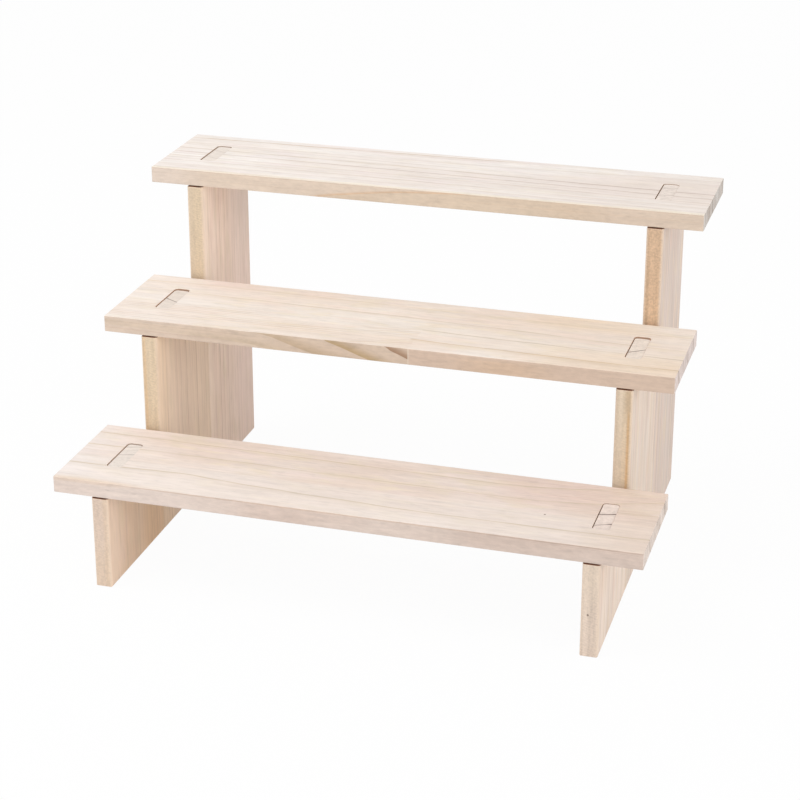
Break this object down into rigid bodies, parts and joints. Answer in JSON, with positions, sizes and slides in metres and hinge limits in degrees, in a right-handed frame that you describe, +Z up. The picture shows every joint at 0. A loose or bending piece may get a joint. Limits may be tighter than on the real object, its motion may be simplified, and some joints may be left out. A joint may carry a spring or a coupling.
{
  "type": "tiered desk shelf",
  "caption": "Stepped wooden desk shelf: free-standing benches of rising height set one behind another, each a board on upright legs with through tenons, for displaying small goods.",
  "frame": {"origin": "middle of the footprint of the three benches, at ground level", "axes": "+X along the shelf boards to the right, +Y from the low bench to the high bench at the back, +Z up"},
  "size_m": [0.4, 0.28, 0.24],
  "materials": {
    "shelf_board": "bare planed pale softwood, matte",
    "leg": "bare planed pale softwood, matte"
  },
  "bodies": {
    "high_legs": {"high_left_leg": "leg", "high_right_leg": "leg"},
    "high_shelf": {"high_shelf_board": "shelf_board"},
    "middle_legs": {"middle_left_leg": "leg", "middle_right_leg": "leg"},
    "middle_shelf": {"middle_shelf_board": "shelf_board"},
    "low_legs": {"low_left_leg": "leg", "low_right_leg": "leg"},
    "low_shelf": {"low_shelf_board": "shelf_board"}
  },
  "joints": [
    {"name": "high_shelf_lift", "type": "slide", "parent": "high_legs", "child": "high_shelf", "axis": [0, 0, 1], "range_m": [0, 0.03]},
    {"name": "middle_bench_pull", "type": "slide", "parent": "high_legs", "child": "middle_legs", "axis": [0, -1, 0], "range_m": [0, 0.1]},
    {"name": "middle_shelf_lift", "type": "slide", "parent": "middle_legs", "child": "middle_shelf", "axis": [0, 0, 1], "range_m": [0, 0.03]},
    {"name": "low_bench_pull", "type": "slide", "parent": "middle_legs", "child": "low_legs", "axis": [0, -1, 0], "range_m": [0, 0.1]},
    {"name": "low_shelf_lift", "type": "slide", "parent": "low_legs", "child": "low_shelf", "axis": [0, 0, 1], "range_m": [0, 0.03]}
  ]
}
